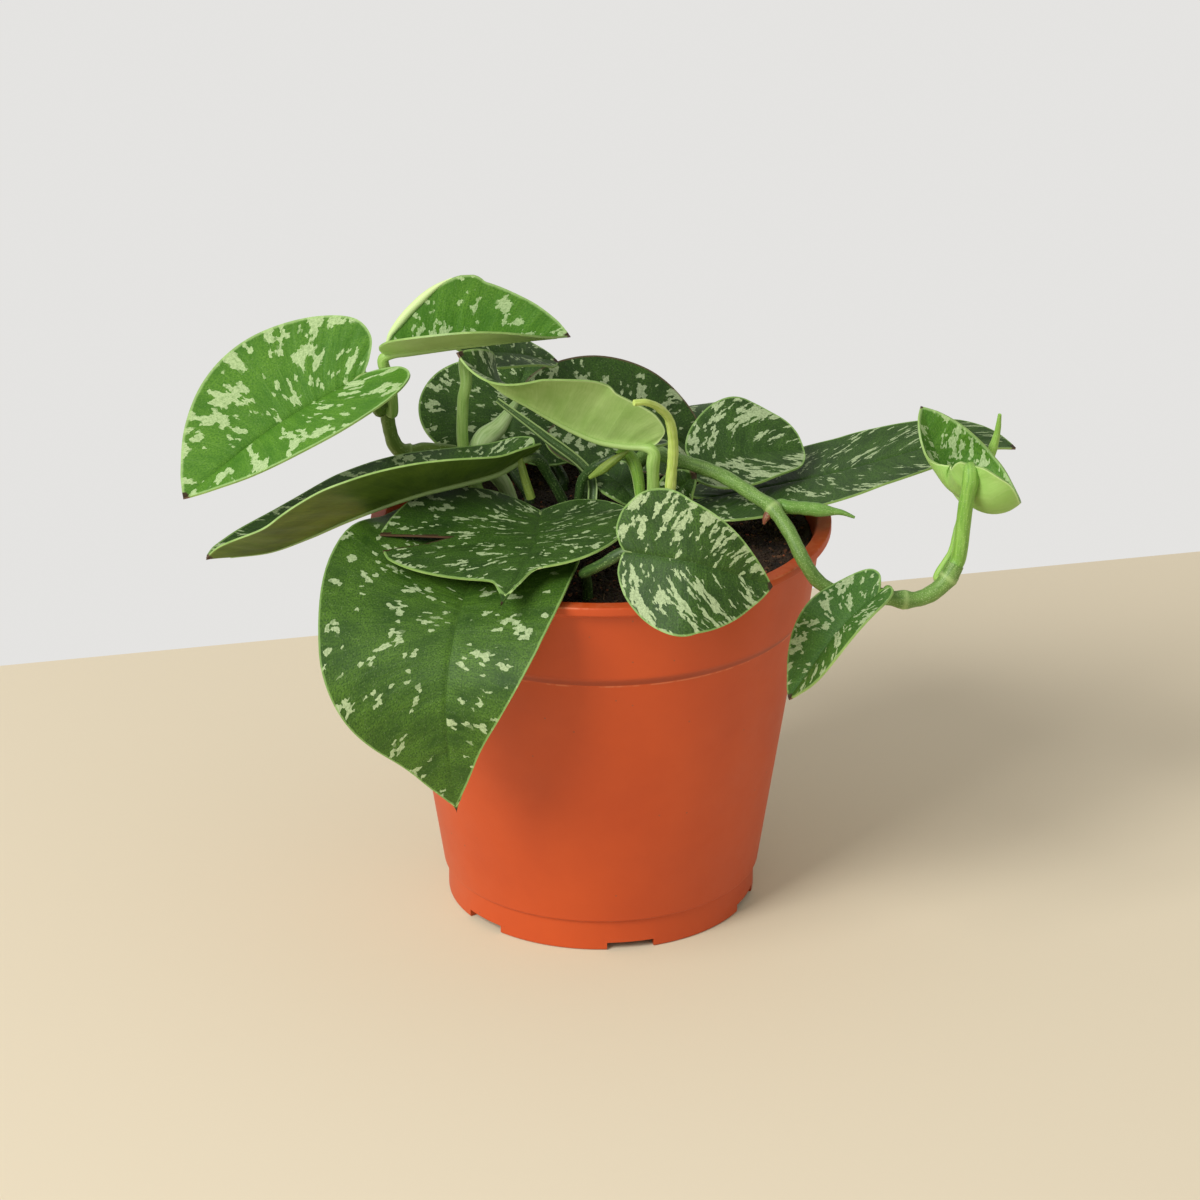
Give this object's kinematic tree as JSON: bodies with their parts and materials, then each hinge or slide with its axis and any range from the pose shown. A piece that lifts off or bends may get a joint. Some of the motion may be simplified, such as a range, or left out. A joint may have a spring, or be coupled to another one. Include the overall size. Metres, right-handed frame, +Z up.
{
  "type": "potted satin pothos",
  "caption": "Trailing houseplant with silver-splashed heart-shaped leaves, growing in soil in a round tapered plastic nursery pot.",
  "frame": {"origin": "On the pot's axis, at the bottom of the centre foot, in the plane of the table that the pot stands on.", "axes": "+Z is up along the pot's axis. -Y points at the usual viewer, and +X is to that viewer's right, where the long vine hangs out."},
  "size_m": [0.1914, 0.1398, 0.1505],
  "materials": {
    "pot": "satin",
    "soil": "matt",
    "stem": "satin",
    "leaf": "satin",
    "leaf_underside": "matt"
  },
  "bodies": {
    "root": {"pot": "pot", "soil": "soil", "vine_left": "stem", "vine_right": "stem", "sheath_right": "stem", "shoot_vine_end": "stem", "stem_yellow": "stem", "strap_left": "stem", "leaf_rolled_small": "leaf_underside", "leaf_rolled_pale": "leaf_underside", "leaf_upper_left": "leaf", "leaf_top": "leaf", "leaf_back_top": "leaf", "leaf_back_left": "leaf", "leaf_left": "leaf", "leaf_centre": "leaf_underside", "leaf_front_left": "leaf", "leaf_front_middle": "leaf", "leaf_front_right": "leaf", "leaf_back_middle": "leaf", "leaf_right_round": "leaf", "leaf_right_long": "leaf", "leaf_right_hanging": "leaf", "leaf_vine_end": "leaf", "leaf_small_right": "leaf", "leaf_small_centre": "leaf", "leaf_rear_left": "leaf", "leaf_rear_right": "leaf"}
  },
  "joints": []
}
